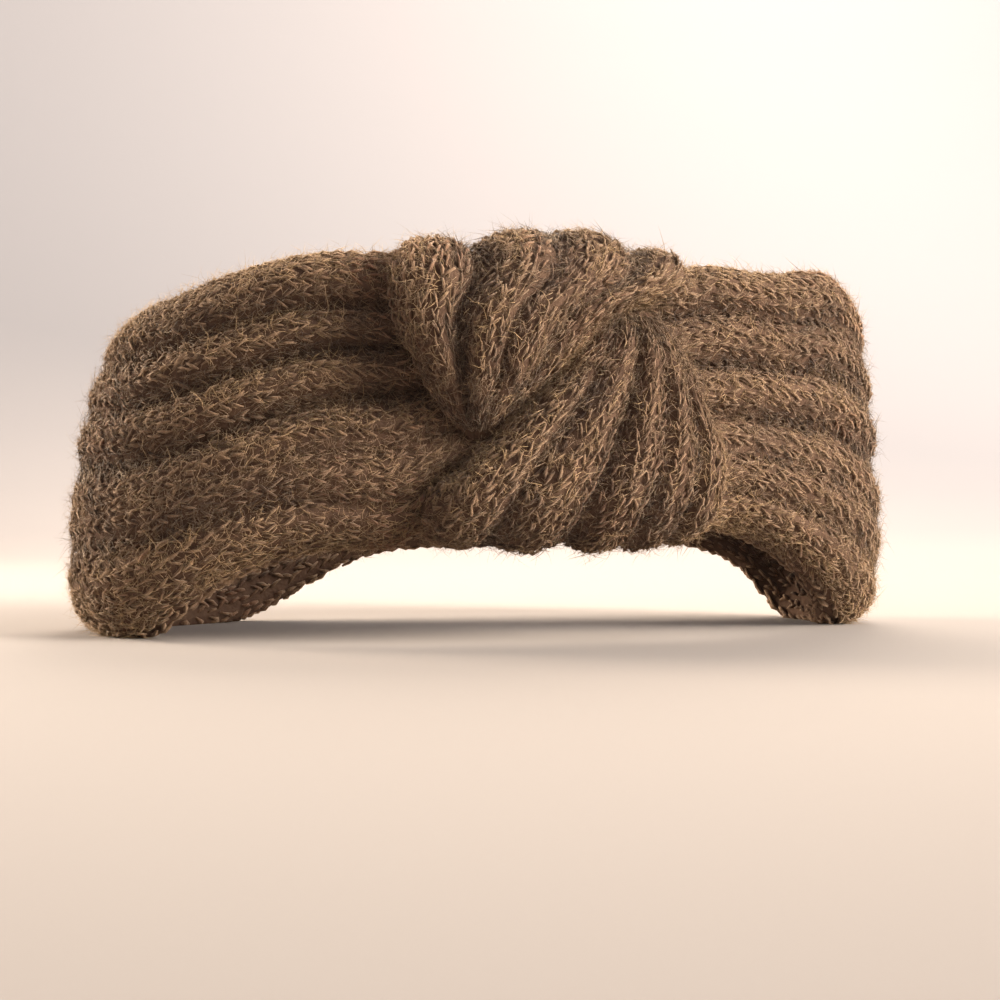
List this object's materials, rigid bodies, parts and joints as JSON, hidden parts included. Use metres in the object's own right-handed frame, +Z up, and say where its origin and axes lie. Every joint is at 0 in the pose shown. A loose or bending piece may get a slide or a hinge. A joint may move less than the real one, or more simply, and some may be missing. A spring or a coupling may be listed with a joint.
{
  "type": "ear warmer headband",
  "caption": "Thick fuzzy knitted ear warmer headband: an oval band in soft lengthwise folds, gathered at the front into a twist of two interlocked knitted folds.",
  "frame": {"origin": "middle of the bounding box on the surface that the headband stands on", "axes": "+X along the loop's long diameter, to the right as seen from the front; the twist at the front faces -Y; +Z up, along the axis of the head's opening"},
  "size_m": [0.2316, 0.1444, 0.1043],
  "materials": {
    "mohair_knit": "brushed brown knit with a soft halo of fibre"
  },
  "bodies": {
    "root": {"band": "mohair_knit", "twist_upper_fold": "mohair_knit", "twist_lower_fold": "mohair_knit"}
  },
  "joints": []
}
